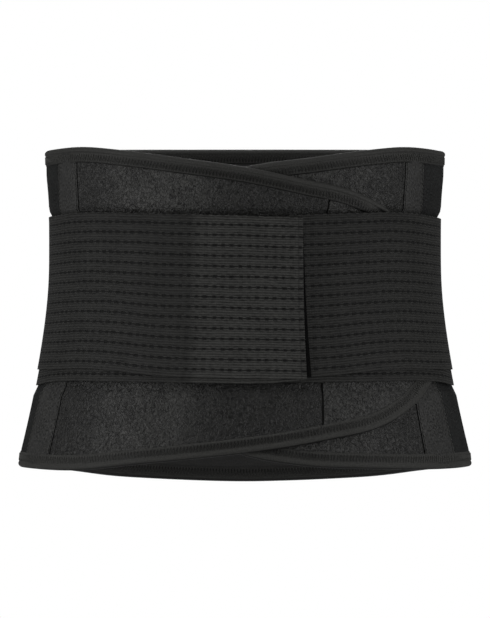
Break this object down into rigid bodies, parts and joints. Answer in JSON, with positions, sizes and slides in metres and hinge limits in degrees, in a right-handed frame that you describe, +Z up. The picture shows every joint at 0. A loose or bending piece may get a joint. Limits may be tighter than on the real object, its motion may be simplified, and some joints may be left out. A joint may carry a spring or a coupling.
{
  "type": "lumbar support belt",
  "caption": "Lumbar support belt in black fabric: padded back with stays, two overlapping front panels, and two wide ribbed elastic straps that close over them in front",
  "frame": {"origin": "middle of the waist opening, at half the side height of the belt", "axes": "+Z up the wearer's trunk, front faces -Y, +X to the right as seen from in front"},
  "size_m": [0.313, 0.2256, 0.2362],
  "materials": {
    "strap_elastic": "ribbed woven elastic, matt black",
    "loop_cloth": "brushed loop pile, matt black",
    "side_elastic": "smooth knitted elastic, black",
    "back_cloth": "woven cloth, black",
    "lining": "smooth knit lining, black",
    "foam": "soft closed-cell foam",
    "tape": "woven tape, black",
    "binding": "knitted edge binding, black",
    "stay_steel": "flat sprung steel",
    "hook_pad": "hook side of a hook-and-loop fastener"
  },
  "bodies": {
    "back": {"back_lining": "lining", "back_foam": "foam", "back_cloth": "back_cloth", "right_side_cloth": "side_elastic", "left_side_cloth": "side_elastic", "back_binding_top": "binding", "back_binding_bottom": "binding", "back_patch": "tape", "back_stay_1": "stay_steel", "back_stay_2": "stay_steel", "back_stay_3": "stay_steel", "back_stay_4": "stay_steel", "back_tape_1": "tape", "back_tape_2": "tape", "back_tape_3": "tape", "back_tape_4": "tape", "left_rear_outer": "strap_elastic", "left_rear_inner": "strap_elastic", "right_rear_outer": "strap_elastic", "right_rear_inner": "strap_elastic"},
    "left_panel": {"left_lining": "lining", "left_loop_cloth": "loop_cloth", "left_elastic": "side_elastic", "left_casing": "tape", "left_stay": "stay_steel", "left_binding": "binding", "left_tip_hook": "hook_pad"},
    "right_panel": {"right_lining": "lining", "right_loop_cloth": "loop_cloth", "right_elastic": "side_elastic", "right_casing": "tape", "right_stay": "stay_steel", "right_binding": "binding"},
    "left_strap": {"left_strap_outer": "strap_elastic", "left_strap_inner": "strap_elastic", "left_tab_hook": "hook_pad"},
    "right_strap": {"right_strap_outer": "strap_elastic", "right_strap_inner": "strap_elastic", "right_tab_hook": "hook_pad"}
  },
  "joints": [
    {"name": "left_strap_open", "type": "hinge", "parent": "back", "child": "left_strap", "pos_m": [-0.1475, 0, 0], "axis": [0, 0, -1], "range_deg": [0, 140]},
    {"name": "right_strap_open", "type": "hinge", "parent": "back", "child": "right_strap", "pos_m": [0.1475, 0, 0], "axis": [0, 0, 1], "range_deg": [0, 112]},
    {"name": "left_panel_open", "type": "hinge", "parent": "back", "child": "left_panel", "pos_m": [-0.159, 0, 0], "axis": [0, 0, -1], "range_deg": [0, 35]},
    {"name": "right_panel_open", "type": "hinge", "parent": "back", "child": "right_panel", "pos_m": [0.159, 0, 0], "axis": [0, 0, 1], "range_deg": [0, 21]}
  ],
  "couplings": [
    {"joint": "right_strap_open", "follows": "left_strap_open", "ratio": 0.8},
    {"joint": "left_panel_open", "follows": "left_strap_open", "ratio": 0.25},
    {"joint": "right_panel_open", "follows": "left_strap_open", "ratio": 0.15}
  ]
}
